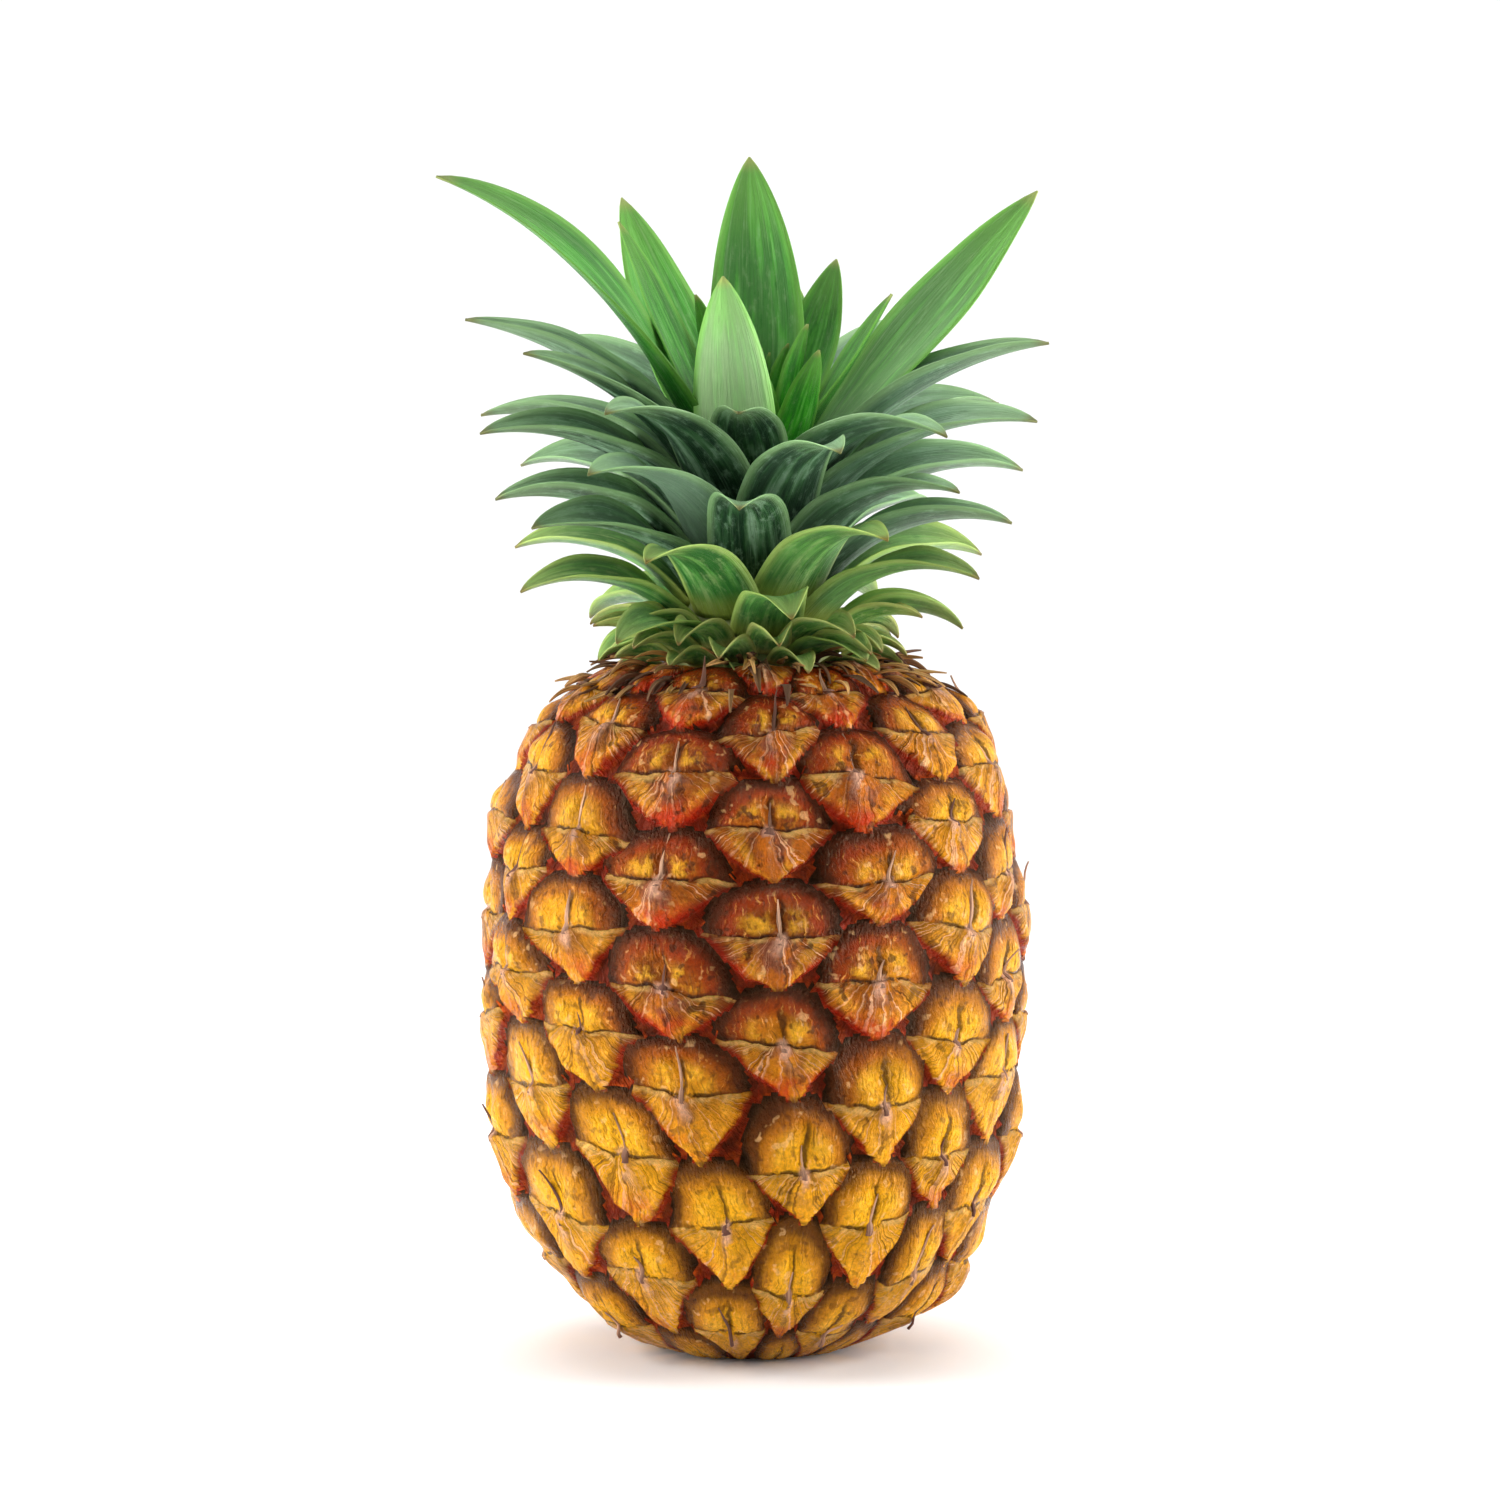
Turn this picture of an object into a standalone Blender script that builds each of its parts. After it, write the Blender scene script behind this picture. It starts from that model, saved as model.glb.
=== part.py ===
"""A whole pineapple standing on its cut base, with its crown of leaves.

Metres, +Z up. The origin is the centre of the flat base, and -Y is the front.
The fruit is one solid whose rind is a honeycomb of raised eyes. The crown is a
short stem that carries separate leaves, set a golden angle apart.
"""

import math

import bmesh
import bpy
from mathutils import Vector

# ---------------------------------------------------------------- dimensions
GAP = 0.0003                # left between pieces that touch

FRUIT_WIDEST_HEIGHT = 0.082
FRUIT_RADIUS = 0.0596       # to the grooves between the eyes
FRUIT_UPPER_REACH = 0.080   # from the widest place to the top of its curve
FRUIT_LOWER_REACH = 0.0855
FRUIT_TOP = 0.158           # where the crown sits
UPPER_FULLNESS = (3.4, 2.6)
LOWER_FULLNESS = (2.6, 2.1)

EYE_COLUMNS = 16            # odd columns sit half a row higher than even ones
BOTTOM_ROW = -2.5           # lowest eyes of the odd columns
TOP_ROW = 3.5               # highest eyes of the odd columns
FIRST_COLUMN_TURN = math.radians(3.5)
ROW_ARCS = (0.0926, 0.0247, -0.00136, 0.00024)  # base to row 0, then per row, its square and cube
COLUMN_LEAN = math.radians(15.0)        # how far the columns lean over, low on the fruit
LEAN_TOWARDS = math.radians(30.0)       # side of the fruit that they lean towards
LEAN_STARTS_BELOW = 0.105
LEAN_FULL_BELOW = 0.030
EYE_RIM = 0.0024            # width of an eye's sloping side
EYE_RISE = 0.0019           # how far an eye's face stands above the grooves
EYE_CROWN = 0.0008          # how far the middle of its face swells further

BASE_CLEARANCE = 0.0006     # the lowest eyes stay this far above the flat base
STALK_RADIUS = 0.0120
STALK_LENGTH = 0.009

CROWN_HEIGHT = 0.056
CROWN_BASE_RADIUS = 0.0195
CROWN_TIP_RADIUS = 0.0065
CROWN_TAPER = 0.85          # below 1, the stem narrows fastest near its foot
CROWN_DOME = 0.004          # height of the rounded tip of the stem

LEAF_THICKNESS = 0.0011
LEAF_LENGTHWISE = 6         # faces along a leaf
LEAF_ACROSS = 2             # faces across it, one each side of the midrib
GOLDEN_ANGLE = math.radians(137.508)
FIRST_LEAF_TURN = math.radians(-96)
SHEATH_SPREAD = 0.28        # radians that half of a leaf's foot covers
FOOT_SHARE = 0.62           # widest that a leaf's foot gets, of the blade's own width
WIDEST_PLACE = 0.38         # where a leaf reaches its full width, 0 at its foot and 1 at its tip
LEAF_TAPER = (2.3, 0.95)    # how late and how bluntly a leaf narrows to its tip
HEART_TAPER = (3.0, 0.90)
TIP_HALF_WIDTH = 0.0004
CHANNEL_DEPTH = 0.30        # rise of a leaf's margins, as a share of its half width
CHANNEL_FULL_PLACE = 0.62   # where that channel is fully formed
FLAT_PLACE = 0.42           # where a heart leaf no longer curves round the stem
TWIST_FULL_PLACE = 0.70     # where a leaf has turned all of its twist
OUTER_LEAVES = 15           # of the spiral, the short ones at its foot

RIND_COLOUR = (0.52, 0.22, 0.05)
STALK_COLOUR = (0.42, 0.30, 0.16)
CROWN_STEM_COLOUR = (0.45, 0.50, 0.24)
OUTER_LEAF_COLOUR = (0.16, 0.22, 0.06)
MIDDLE_LEAF_COLOUR = (0.05, 0.13, 0.06)
HEART_LEAF_COLOUR = (0.06, 0.24, 0.04)


# ------------------------------------------------------------------- helpers
def clear_scene():
    for old in list(bpy.data.objects):
        bpy.data.objects.remove(old, do_unlink=True)


def new_collection(name):
    collection = bpy.data.collections.new(name)
    bpy.context.scene.collection.children.link(collection)
    return collection


def paint(piece, colour, roughness):
    """Give a piece its own plain material."""
    material = bpy.data.materials.new(piece.name)
    material.use_nodes = True
    shader = material.node_tree.nodes["Principled BSDF"]
    shader.inputs["Base Color"].default_value = (*colour, 1.0)
    shader.inputs["Roughness"].default_value = roughness
    shader.inputs["Metallic"].default_value = 0.0
    piece.data.materials.append(material)


def object_from(shape, name, collection):
    """Turn a bmesh into a named object."""
    mesh = bpy.data.meshes.new(name)
    shape.to_mesh(mesh)
    shape.free()
    piece = bpy.data.objects.new(name, mesh)
    collection.objects.link(piece)
    return piece


def turned(name, profile, collection, steps=24):
    """A turned solid: profile runs down its outer side, (radius, height) pairs."""
    shape = bmesh.new()
    points = [shape.verts.new((radius, 0.0, height)) for radius, height in profile]
    for upper, lower in zip(points, points[1:]):
        shape.edges.new((upper, lower))
    piece = object_from(shape, name, collection)
    screw = piece.modifiers.new("turn", "SCREW")
    screw.steps = steps
    screw.render_steps = steps
    screw.use_merge_vertices = True
    screw.merge_threshold = 0.00001
    return piece


def mix(low, high, share):
    return low + (high - low) * share


def ease(share):
    """Keep a share between 0 and 1, and ease it at both ends."""
    share = min(1.0, max(0.0, share))
    return share * share * (3.0 - 2.0 * share)


def on_curve(points, place):
    """Read a smooth curve through evenly spaced values, place being 0 to 1."""
    span = place * (len(points) - 1)
    first = min(int(span), len(points) - 2)
    return mix(points[first], points[first + 1], ease(span - first))


# --------------------------------------------------------------------- fruit
def fruit_radius(height):
    """Radius of the fruit at a height, down in the grooves between the eyes."""
    if height >= FRUIT_WIDEST_HEIGHT:
        reach, fullness = FRUIT_UPPER_REACH, UPPER_FULLNESS
    else:
        reach, fullness = FRUIT_LOWER_REACH, LOWER_FULLNESS
    share = abs(height - FRUIT_WIDEST_HEIGHT) / reach
    return FRUIT_RADIUS * (1.0 - share ** fullness[0]) ** (1.0 / fullness[1])


def fruit_outline(steps=400):
    """The fruit's outline from its base up, as (arc length, radius, height)."""
    outline = [(0.0, fruit_radius(0.0), 0.0)]
    for step in range(1, steps + 1):
        height = FRUIT_TOP * step / steps
        radius = fruit_radius(height)
        arc, last_radius, last_height = outline[-1]
        arc += math.hypot(radius - last_radius, height - last_height)
        outline.append((arc, radius, height))
    return outline


OUTLINE = fruit_outline()


def rind_point(arc):
    """Radius and height on the outline at an arc length from the base."""
    for low, high in zip(OUTLINE, OUTLINE[1:]):
        if arc <= high[0]:
            share = max(0.0, (arc - low[0]) / (high[0] - low[0]))
            return mix(low[1], high[1], share), mix(low[2], high[2], share)
    return OUTLINE[-1][1], OUTLINE[-1][2]


def row_arc(row):
    """Arc length of a row of eyes: the rows are tallest low on the fruit."""
    return sum(part * row ** power for power, part in enumerate(ROW_ARCS))


def column_turn(column, height):
    """Turn of a column of eyes about the axis, which leans low on the fruit."""
    turn = FIRST_COLUMN_TURN + column * math.tau / EYE_COLUMNS
    low = ease((LEAN_STARTS_BELOW - height) / (LEAN_STARTS_BELOW - LEAN_FULL_BELOW))
    return turn - low * COLUMN_LEAN * math.sin(turn - LEAN_TOWARDS)


def honeycomb_corner(column, row):
    radius, height = rind_point(row_arc(row))
    turn = column_turn(column, height)
    return Vector((radius * math.sin(turn), -radius * math.cos(turn), height))


def add_honeycomb(shape):
    """Lay the rind's six-sided cells, and return those that are eyes."""
    corners = {}

    def corner(column, row):
        key = (round(column * 3) % (EYE_COLUMNS * 3), round(row * 2))
        if key not in corners:
            corners[key] = shape.verts.new(honeycomb_corner(column, row))
        return corners[key]

    third = 1.0 / 3.0
    eyes = []
    for column in range(EYE_COLUMNS):
        odd = column % 2 == 1
        row = BOTTOM_ROW if odd else BOTTOM_ROW + 0.5
        last_row = TOP_ROW if odd else TOP_ROW - 0.5
        if not odd:
            shape.faces.new((
                corner(column - third, BOTTOM_ROW), corner(column - 2 * third, BOTTOM_ROW - 0.5),
                corner(column + 2 * third, BOTTOM_ROW - 0.5), corner(column + third, BOTTOM_ROW)))
            shape.faces.new((
                corner(column - third, TOP_ROW), corner(column + third, TOP_ROW),
                corner(column + 2 * third, TOP_ROW + 0.5), corner(column - 2 * third, TOP_ROW + 0.5)))
        while row <= last_row:
            eyes.append(shape.faces.new((
                corner(column + third, row + 0.5), corner(column - third, row + 0.5),
                corner(column - 2 * third, row), corner(column - third, row - 0.5),
                corner(column + third, row - 0.5), corner(column + 2 * third, row))))
            row += 1.0
    return eyes


def add_fruit(collection, cutters):
    """The fruit: one solid with raised eyes, a flat base and a socket for its stalk."""
    shape = bmesh.new()
    eyes = add_honeycomb(shape)
    open_edges = [edge for edge in shape.edges if edge.is_boundary]
    bmesh.ops.holes_fill(shape, edges=open_edges, sides=0)
    bmesh.ops.recalc_face_normals(shape, faces=shape.faces)
    bmesh.ops.inset_individual(
        shape, faces=eyes, thickness=EYE_RIM, depth=EYE_RISE, use_even_offset=True)
    bmesh.ops.poke(shape, faces=eyes, offset=EYE_CROWN, center_mode="MEAN")
    base_radius = fruit_radius(0.0) + GAP
    for point in shape.verts:
        if math.hypot(point.co.x, point.co.y) > base_radius:
            point.co.z = max(point.co.z, BASE_CLEARANCE)
    fruit = object_from(shape, "fruit", collection)
    paint(fruit, RIND_COLOUR, 0.5)

    bpy.ops.mesh.primitive_cylinder_add(
        vertices=24, radius=STALK_RADIUS + GAP, depth=2 * (STALK_LENGTH + GAP))
    socket = bpy.context.object
    socket.name = "stalk_socket"
    for holder in list(socket.users_collection):
        holder.objects.unlink(socket)
    cutters.objects.link(socket)
    socket.hide_render = True
    socket.display_type = "WIRE"
    cut = fruit.modifiers.new("stalk socket", "BOOLEAN")
    cut.operation = "DIFFERENCE"
    cut.object = socket
    return fruit


def add_cut_stem(collection):
    """What is left of the flower stalk, cut level with the base."""
    stem = turned("cut_stem", [
        (0.0, STALK_LENGTH), (STALK_RADIUS, STALK_LENGTH), (STALK_RADIUS, 0.0), (0.0, 0.0)],
        collection)
    paint(stem, STALK_COLOUR, 0.8)


# --------------------------------------------------------------------- crown
def crown_stem_radius(rise):
    """Radius of the crown's stem at a rise above the fruit's top."""
    share = min(1.0, max(0.0, rise / CROWN_HEIGHT))
    return mix(CROWN_BASE_RADIUS, CROWN_TIP_RADIUS, share ** CROWN_TAPER)


def add_crown_stem(collection):
    """The short stem that the leaves grow from, domed at its tip."""
    foot = FRUIT_TOP + GAP
    top = foot + CROWN_HEIGHT
    profile = [(0.0, top + CROWN_DOME), (0.6 * CROWN_TIP_RADIUS, top + 0.75 * CROWN_DOME)]
    for step in range(5, -1, -1):
        rise = CROWN_HEIGHT * step / 5
        profile.append((crown_stem_radius(rise), foot + rise))
    profile.append((0.0, foot))
    stem = turned("crown_stem", profile, collection, steps=20)
    paint(stem, CROWN_STEM_COLOUR, 0.7)


# How a leaf changes from the foot of the spiral to its top. Each curve is read
# at even steps, lowest leaf first: metres, and degrees above level.
LEAF_LENGTHS = (0.019, 0.036, 0.047, 0.050, 0.052, 0.060, 0.067, 0.071, 0.073)
LEAF_HALF_WIDTHS = (0.0068, 0.0085, 0.0095, 0.0102, 0.0106, 0.0108, 0.0108, 0.0106, 0.0105)
LEAF_FOOT_SLOPES = (40, 50, 52, 54, 56, 60, 61, 60, 60)
LEAF_TIP_SLOPES = (-48, -36, -20, -16, -14, -15, -8, 6, 18)
SPIRAL_LEAVES = 43
SPIRAL_FOOT = 0.0015        # rise of the lowest leaf above the fruit's top
SPIRAL_CLIMB = 0.0375       # from the lowest leaf of the spiral to its highest

# The heart leaves stand above the spiral: turn in degrees from the front, rise and
# length and half width in millimetres, slope at foot and tip, how late they bend, and
# how far they twist about their own length.
HEART_LEAVES = (
    (-76, 43, 97, 10.5, 64, 16, 1.6, -34),
    (104, 42, 90, 9.5, 50, 49, 1.0, 50),
    (-139, 43, 78, 11.0, 58, 62, 1.0, -10),
    (-18, 40, 51, 10.0, 66, 75, 1.0, 0),
    (174, 54, 65, 11.5, 79, 86, 1.0, 0),
    (-112, 48, 60, 7.0, 66, 66, 1.0, -12),
    (82, 48, 44, 6.5, 56, 60, 1.0, 24),
    (131, 50, 48, 7.5, 67, 70, 1.0, 34),
    (40, 43, 32, 6.0, 62, 67, 1.0, 0),
    (-2, 47, 25, 6.5, 68, 76, 1.0, 0),
    (156, 46, 47, 7.0, 63, 66, 1.0, 10),
    (62, 52, 27, 6.0, 75, 79, 1.0, 0),
    (-160, 51, 46, 7.5, 71, 75, 1.0, 0),
    (-58, 52, 34, 6.5, 73, 78, 1.0, 0),
)

# Leaves of the spiral that grew out of step: change in length as a share of one,
# and in tip slope and turn in degrees, by leaf number.
ODD_LEAVES = {
    32: (-0.02, -4, -13),
    34: (-0.08, -8, 0),
    35: (-0.14, -24, 5),
    37: (-0.10, 4, -8),
    40: (-0.42, -16, -9),
    42: (-0.02, -8, 0),
}


def spiral_leaf(number):
    """Where leaf number 0, 1, 2... of the spiral grows, and its size and curve."""
    age = number / (SPIRAL_LEAVES - 1)
    stretch, lift, swing = ODD_LEAVES.get(number, (0.0, 0.0, 0.0))
    return {
        "turn": FIRST_LEAF_TURN + number * GOLDEN_ANGLE + math.radians(swing),
        "rise": SPIRAL_FOOT + SPIRAL_CLIMB * age,
        "length": on_curve(LEAF_LENGTHS, age) * (1.0 + stretch),
        "half_width": on_curve(LEAF_HALF_WIDTHS, age),
        "foot_slope": math.radians(on_curve(LEAF_FOOT_SLOPES, age)),
        "tip_slope": math.radians(on_curve(LEAF_TIP_SLOPES, age) + lift),
        "bend": 1.0,
        "taper": LEAF_TAPER,
        "flatness": 0.0,
        "twist": 0.0,
    }


def heart_leaf(turn, rise, length, half_width, foot_slope, tip_slope, bend, twist):
    return {
        "turn": math.radians(turn),
        "rise": rise * 0.001,
        "length": length * 0.001,
        "half_width": half_width * 0.001,
        "foot_slope": math.radians(foot_slope),
        "tip_slope": math.radians(tip_slope),
        "bend": bend,
        "taper": HEART_TAPER,
        "flatness": 1.0,
        "twist": math.radians(twist),
    }


def leaf_centreline(plan, steps=48):
    """A leaf's midrib as (radius, height, slope), from its foot to its tip."""
    radius = crown_stem_radius(plan["rise"]) + LEAF_THICKNESS + 2 * GAP
    height = FRUIT_TOP + GAP + plan["rise"]
    line = []
    for step in range(steps + 1):
        share = (step / steps) ** plan["bend"]
        slope = mix(plan["foot_slope"], plan["tip_slope"], share)
        line.append((radius, height, slope))
        radius += math.cos(slope) * plan["length"] / steps
        height += math.sin(slope) * plan["length"] / steps
    return line


def leaf_half_width(plan, place, foot_radius):
    """Half of a leaf's width at a place from 0 at its foot to 1 at its tip."""
    foot = min(FOOT_SHARE * plan["half_width"], SHEATH_SPREAD * foot_radius)
    full = math.sin(0.5 * math.pi * min(1.0, place / WIDEST_PLACE))
    lateness, bluntness = plan["taper"]
    taper = (1.0 - place ** lateness) ** bluntness
    return mix(foot, plan["half_width"], full) * taper + TIP_HALF_WIDTH


def leaf_point(plan, line, across, place):
    """A point of a leaf, across being -1 to 1 and place 0 at its foot to 1 at its tip."""
    radius, height, slope = line[round(place * (len(line) - 1))]
    half_width = leaf_half_width(plan, place, line[0][0])
    wide = across * half_width
    channel = CHANNEL_DEPTH * half_width * across ** 2 * min(1.0, place / CHANNEL_FULL_PLACE)
    twist = plan["twist"] * ease(place / TWIST_FULL_PLACE)
    sideways = wide * math.cos(twist) - channel * math.sin(twist)
    lift = channel * math.cos(twist) + wide * math.sin(twist)
    reach = radius - lift * math.sin(slope)
    height += lift * math.cos(slope)
    turn = plan["turn"] + sideways / radius
    wrapped = Vector((reach * math.sin(turn), -reach * math.cos(turn), height))
    outward = Vector((math.sin(plan["turn"]), -math.cos(plan["turn"]), 0.0))
    along_side = Vector((math.cos(plan["turn"]), math.sin(plan["turn"]), 0.0))
    flat = outward * reach + along_side * sideways + Vector((0.0, 0.0, height))
    return wrapped.lerp(flat, plan["flatness"] * ease(place / FLAT_PLACE))


def add_leaf(plan, name, colour, collection):
    """One leaf: a grid bent along its midrib and folded in a shallow channel."""
    line = leaf_centreline(plan)
    shape = bmesh.new()
    bmesh.ops.create_grid(shape, x_segments=LEAF_ACROSS, y_segments=LEAF_LENGTHWISE, size=1.0)
    for point in shape.verts:
        point.co = leaf_point(plan, line, point.co.x, 0.5 * (point.co.y + 1.0))
    bmesh.ops.recalc_face_normals(shape, faces=shape.faces)
    leaf = object_from(shape, name, collection)
    shell = leaf.modifiers.new("thickness", "SOLIDIFY")
    shell.thickness = LEAF_THICKNESS
    shell.offset = 0.0
    paint(leaf, colour, 0.45)


def add_crown(collection):
    """The stem, the spiral of outer and middle leaves, and the heart leaves."""
    add_crown_stem(collection)
    for number in range(SPIRAL_LEAVES):
        if number < OUTER_LEAVES:
            name, colour = f"outer_leaf_{number + 1:02d}", OUTER_LEAF_COLOUR
        else:
            name, colour = f"middle_leaf_{number - OUTER_LEAVES + 1:02d}", MIDDLE_LEAF_COLOUR
        add_leaf(spiral_leaf(number), name, colour, collection)
    for number, sizes in enumerate(HEART_LEAVES, start=1):
        add_leaf(heart_leaf(*sizes), f"heart_leaf_{number:02d}", HEART_LEAF_COLOUR, collection)


def build():
    clear_scene()
    parts = new_collection("pineapple")
    cutters = new_collection("cutters")
    add_fruit(parts, cutters)
    add_cut_stem(parts)
    add_crown(parts)


build()
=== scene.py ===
"""The looks of a whole pineapple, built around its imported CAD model.

Metres, +Z up, -Y towards the viewer. The rind and the leaves are made here as fine
meshes that stand for their CAD nodes, which keep the collision. The two stems keep
their CAD solids. The formulas for the outline, the lattice of eyes and the leaves
repeat those of the CAD source.
"""

import math
import random

import bmesh
import bpy
import numpy as np
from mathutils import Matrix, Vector, noise


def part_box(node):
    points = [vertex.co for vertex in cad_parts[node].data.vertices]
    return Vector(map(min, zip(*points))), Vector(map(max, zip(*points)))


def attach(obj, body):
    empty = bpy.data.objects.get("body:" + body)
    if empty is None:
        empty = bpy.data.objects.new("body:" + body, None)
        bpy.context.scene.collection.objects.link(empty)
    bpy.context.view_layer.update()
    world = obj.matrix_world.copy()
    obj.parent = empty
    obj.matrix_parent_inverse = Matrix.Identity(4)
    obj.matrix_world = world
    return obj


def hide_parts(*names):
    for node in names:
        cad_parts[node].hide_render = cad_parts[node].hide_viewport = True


noise.seed_set(7)       # the vector noise would otherwise start from the time of day

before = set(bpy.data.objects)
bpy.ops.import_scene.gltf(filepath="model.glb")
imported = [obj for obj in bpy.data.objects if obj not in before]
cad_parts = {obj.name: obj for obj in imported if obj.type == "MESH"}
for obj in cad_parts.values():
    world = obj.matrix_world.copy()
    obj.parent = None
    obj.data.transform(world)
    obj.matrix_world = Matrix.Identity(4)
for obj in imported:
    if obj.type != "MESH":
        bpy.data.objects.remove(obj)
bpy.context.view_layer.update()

MM = 0.001

# ------------------------------------------------------------ the CAD's shape
STALK_LOW, STALK_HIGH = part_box("cut_stem")
FRUIT_TOP = 0.158
FRUIT_WIDEST_HEIGHT = 0.082
FRUIT_RADIUS = 0.0596       # to the grooves between the eyes
FRUIT_UPPER_REACH = 0.080   # from the widest height to where each half would close
FRUIT_LOWER_REACH = 0.0855
UPPER_FULLNESS = (3.4, 2.6)         # exponents of height and radius; 2 and 2 would be an ellipse
LOWER_FULLNESS = (2.6, 2.1)
EYE_COLUMNS = 16
BOTTOM_ROW = -2.5
TOP_ROW = 3.5
FIRST_COLUMN_TURN = math.radians(3.5)
ROW_ARCS = (0.0926, 0.0247, -0.00136, 0.00024)  # base to row 0, then per row, its square and cube
COLUMN_LEAN = math.radians(15.0)        # how far the columns lean over, low on the fruit
LEAN_TOWARDS = math.radians(30.0)       # side of the fruit that they lean towards
LEAN_STARTS_BELOW = 0.105
LEAN_FULL_BELOW = 0.030
STALK_RADIUS = 0.5 * (STALK_HIGH[0] - STALK_LOW[0])
STALK_LENGTH = STALK_HIGH[2]
SOCKET_GAP = 0.0003

CROWN_HEIGHT = 0.056
CROWN_BASE_RADIUS = 0.0195
CROWN_TIP_RADIUS = 0.0065
CROWN_FOOT = FRUIT_TOP + SOCKET_GAP
GOLDEN_ANGLE = math.radians(137.508)
FIRST_LEAF_TURN = math.radians(-96)

# sizes and slopes in degrees, evenly spaced from the first leaf of the spiral to the last
LEAF_LENGTHS = (0.019, 0.036, 0.047, 0.050, 0.052, 0.060, 0.067, 0.071, 0.073)
LEAF_HALF_WIDTHS = (
    0.0068, 0.0085, 0.0095, 0.0102, 0.0106, 0.0108, 0.0108, 0.0106, 0.0105)
LEAF_FOOT_SLOPES = (40, 50, 52, 54, 56, 60, 61, 60, 60)
LEAF_TIP_SLOPES = (-48, -36, -20, -16, -14, -15, -8, 6, 18)
SPIRAL_LEAVES = 43
OUTER_LEAVES = 15
SPIRAL_FOOT = 0.0015
SPIRAL_CLIMB = 0.0375
# turn, rise of the foot, length and half width in mm, foot slope, tip slope, bend, twist
HEART_LEAVES = (
    (-76, 43, 97, 10.5, 64, 16, 1.6, -34),
    (104, 42, 90, 9.5, 50, 49, 1.0, 50),
    (-139, 43, 78, 11.0, 58, 62, 1.0, -10),
    (-18, 40, 51, 10.0, 66, 75, 1.0, 0),
    (174, 54, 65, 11.5, 79, 86, 1.0, 0),
    (-112, 48, 60, 7.0, 66, 66, 1.0, -12),
    (82, 48, 44, 6.5, 56, 60, 1.0, 24),
    (131, 50, 48, 7.5, 67, 70, 1.0, 34),
    (40, 43, 32, 6.0, 62, 67, 1.0, 0),
    (-2, 47, 25, 6.5, 68, 76, 1.0, 0),
    (156, 46, 47, 7.0, 63, 66, 1.0, 10),
    (62, 52, 27, 6.0, 75, 79, 1.0, 0),
    (-160, 51, 46, 7.5, 71, 75, 1.0, 0),
    (-58, 52, 34, 6.5, 73, 78, 1.0, 0),
)
# leaves that leave the spiral's rule: share of length added, tip lift and swing in degrees
ODD_LEAVES = {
    32: (-0.02, -4, -13),
    34: (-0.08, -8, 0),
    35: (-0.14, -24, 5),
    37: (-0.10, 4, -8),
    40: (-0.42, -16, -9),
    42: (-0.02, -8, 0),
}
# how pale, or how light, a leaf is painted, by its number; the paleness of spiral leaf 24 is partly a
# painted highlight
PALE_AND_LIT_SPIRAL_LEAVES = {24: 0.8, 42: 0.3, 34: 0.2}
PALE_HEART_LEAVES = {2: 0.22, 4: 0.9, 7: 0.1}
HEART_TONES = {1: 0.05, 2: 0.6, 3: 0.4, 4: 1.3, 5: 0.6}


def smooth(value):
    """Ease a share from 0 to 1."""
    value = np.clip(value, 0.0, 1.0)
    return value * value * (3.0 - 2.0 * value)


def step_between(low, high, value):
    return smooth((value - low) / (high - low))


def mix(low, high, share):
    return low + (high - low) * share


def colour(red, green, blue):
    """A linear colour from the 0 to 255 values that a screen shows."""
    channels = []
    for channel in (red, green, blue):
        channel /= 255.0
        channels.append(channel / 12.92 if channel <= 0.04045 else ((channel + 0.055) / 1.055) ** 2.4)
    return (*channels, 1.0)


# ----------------------------------------------------------- material helpers
def plug(tree, value, socket):
    """Link a field to a socket, or set the socket to a number."""
    if isinstance(value, Field):
        tree.links.new(value.socket, socket)
    else:
        socket.default_value = value


class Field:
    """A number that varies over a surface, worked out by a material's nodes."""

    def __init__(self, tree, socket):
        self.tree = tree
        self.socket = socket

    def combine(self, operation, *others):
        node = self.tree.nodes.new("ShaderNodeMath")
        node.operation = operation
        for place, value in enumerate((self, *others)):
            plug(self.tree, value, node.inputs[place])
        return Field(self.tree, node.outputs[0])

    def __add__(self, other):
        return self.combine("ADD", other)

    def __sub__(self, other):
        return self.combine("SUBTRACT", other)

    def __mul__(self, other):
        return self.combine("MULTIPLY", other)

    def __truediv__(self, other):
        return self.combine("DIVIDE", other)

    def size(self):
        return self.combine("ABSOLUTE")

    def power(self, exponent):
        return self.combine("POWER", exponent)

    def at_least(self, floor):
        return self.combine("MAXIMUM", floor)

    def at_most(self, ceiling):
        return self.combine("MINIMUM", ceiling)

    def rest(self):
        """One minus this."""
        return (self * -1.0) + 1.0

    def rise(self, low, high):
        """0 below low and 1 above high, eased between them."""
        node = self.tree.nodes.new("ShaderNodeMapRange")
        node.interpolation_type = "SMOOTHSTEP"
        self.tree.links.new(self.socket, node.inputs["Value"])
        node.inputs["From Min"].default_value = low
        node.inputs["From Max"].default_value = high
        return Field(self.tree, node.outputs[0])


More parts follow.
